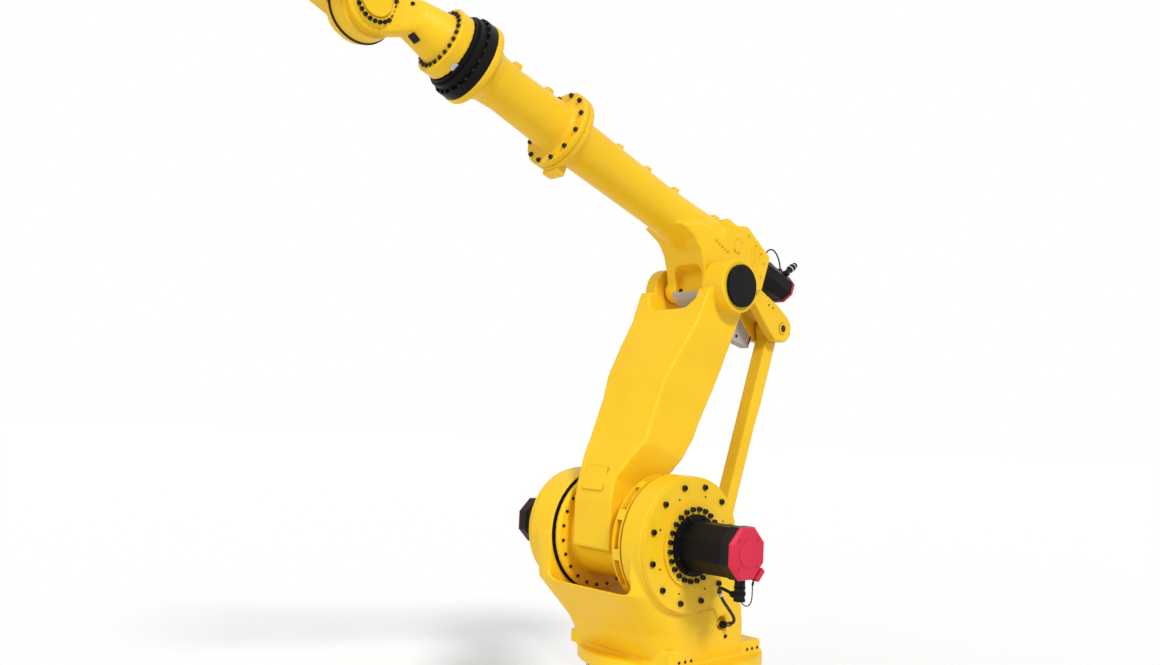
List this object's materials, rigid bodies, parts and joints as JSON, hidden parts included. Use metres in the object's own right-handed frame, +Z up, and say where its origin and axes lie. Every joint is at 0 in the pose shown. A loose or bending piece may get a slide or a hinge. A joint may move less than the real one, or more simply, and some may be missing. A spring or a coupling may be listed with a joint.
{
  "type": "industrial robot arm",
  "caption": "Large floor-mounted industrial robot arm with a parallel link behind the lower arm, a long slanting forearm and a turning wrist.",
  "frame": {"origin": "centre of the base on its underside, on the turning axis of the base", "axes": "+X the way the arm reaches, +Y to the arm's left, +Z up along the turning axis of the base"},
  "size_m": [2.903, 1.412, 3.3846],
  "materials": {
    "yellow_paint": "satin",
    "black_paint": "satin",
    "red_cap": "satin",
    "dark_steel": "satin",
    "steel": "satin",
    "grey_cover": "matte",
    "seal_black": "matte"
  },
  "bodies": {
    "base": {"base_casting": "yellow_paint", "connector_panel": "grey_cover", "turn_bearing": "dark_steel"},
    "turntable": {"turntable_casting": "yellow_paint", "near_cover": "yellow_paint", "far_cover": "yellow_paint", "near_motor": "black_paint", "near_motor_cap": "red_cap", "far_motor": "black_paint", "far_motor_cap": "red_cap", "cable_socket": "seal_black", "cap_socket": "red_cap", "motor_cable": "seal_black", "cap_wire": "seal_black", "turn_motor": "black_paint", "turn_motor_cap": "red_cap"},
    "lower_arm": {"lower_arm": "yellow_paint", "near_elbow_stub": "steel", "far_elbow_stub": "steel", "near_elbow_cap": "black_paint", "far_elbow_cap": "black_paint"},
    "forearm": {"forearm_casting": "yellow_paint", "extension_tube": "yellow_paint", "roll_reducer": "black_paint", "elbow_cover": "grey_cover", "junction_box": "grey_cover", "wrist_roll_motor": "black_paint", "wrist_roll_motor_cap": "red_cap", "wrist_bend_motor": "black_paint", "wrist_bend_motor_cap": "red_cap", "flange_turn_motor": "black_paint", "flange_turn_motor_cap": "red_cap", "wrist_socket_front": "seal_black", "wrist_socket_rear": "seal_black", "wrist_plug_upper": "seal_black", "wrist_plug_lower": "seal_black", "wrist_cable": "seal_black", "top_pin": "steel"},
    "link_rod": {"link_rod": "yellow_paint"},
    "crank": {"crank": "yellow_paint", "low_pin": "steel"},
    "wrist_body": {"wrist_body": "yellow_paint", "bend_seal": "seal_black"},
    "wrist_head": {"wrist_head": "yellow_paint"},
    "tool_flange": {"tool_flange": "steel"}
  },
  "joints": [
    {"name": "base_turn", "type": "hinge", "parent": "base", "child": "turntable", "pos_m": [0, 0, 0.44], "axis": [0, 0, 1], "range_deg": [-180, 180]},
    {"name": "shoulder", "type": "hinge", "parent": "turntable", "child": "lower_arm", "pos_m": [0.3, 0, 1.05], "axis": [0, 1, 0], "range_deg": [-64, 85]},
    {"name": "elbow", "type": "hinge", "parent": "lower_arm", "child": "forearm", "pos_m": [-0.08586, 0, 2.23895], "axis": [0, -1, 0], "range_deg": [-65, 60]},
    {"name": "link_top", "type": "hinge", "parent": "forearm", "child": "link_rod", "pos_m": [-0.68239, 0, 2.09354], "axis": [0, 1, 0], "range_deg": [-65, 60]},
    {"name": "link_low", "type": "hinge", "parent": "link_rod", "child": "crank", "pos_m": [-0.29653, 0, 0.90458], "axis": [0, -1, 0], "range_deg": [-65, 60]},
    {"name": "wrist_roll", "type": "hinge", "parent": "forearm", "child": "wrist_body", "pos_m": [1.39791, 0, 3.03372], "axis": [0.9426, 0, 0.334], "range_deg": [-360, 360]},
    {"name": "wrist_bend", "type": "hinge", "parent": "wrist_body", "child": "wrist_head", "pos_m": [1.71556, 0, 3.14627], "axis": [0, -1, 0], "range_deg": [-122, 122]},
    {"name": "flange_turn", "type": "hinge", "parent": "wrist_head", "child": "tool_flange", "pos_m": [1.71556, 0, 3.14627], "axis": [0.9426, 0, 0.334], "range_deg": [-360, 360]}
  ],
  "couplings": [
    {"joint": "link_top", "follows": "elbow", "ratio": 1},
    {"joint": "link_low", "follows": "elbow", "ratio": 1}
  ]
}
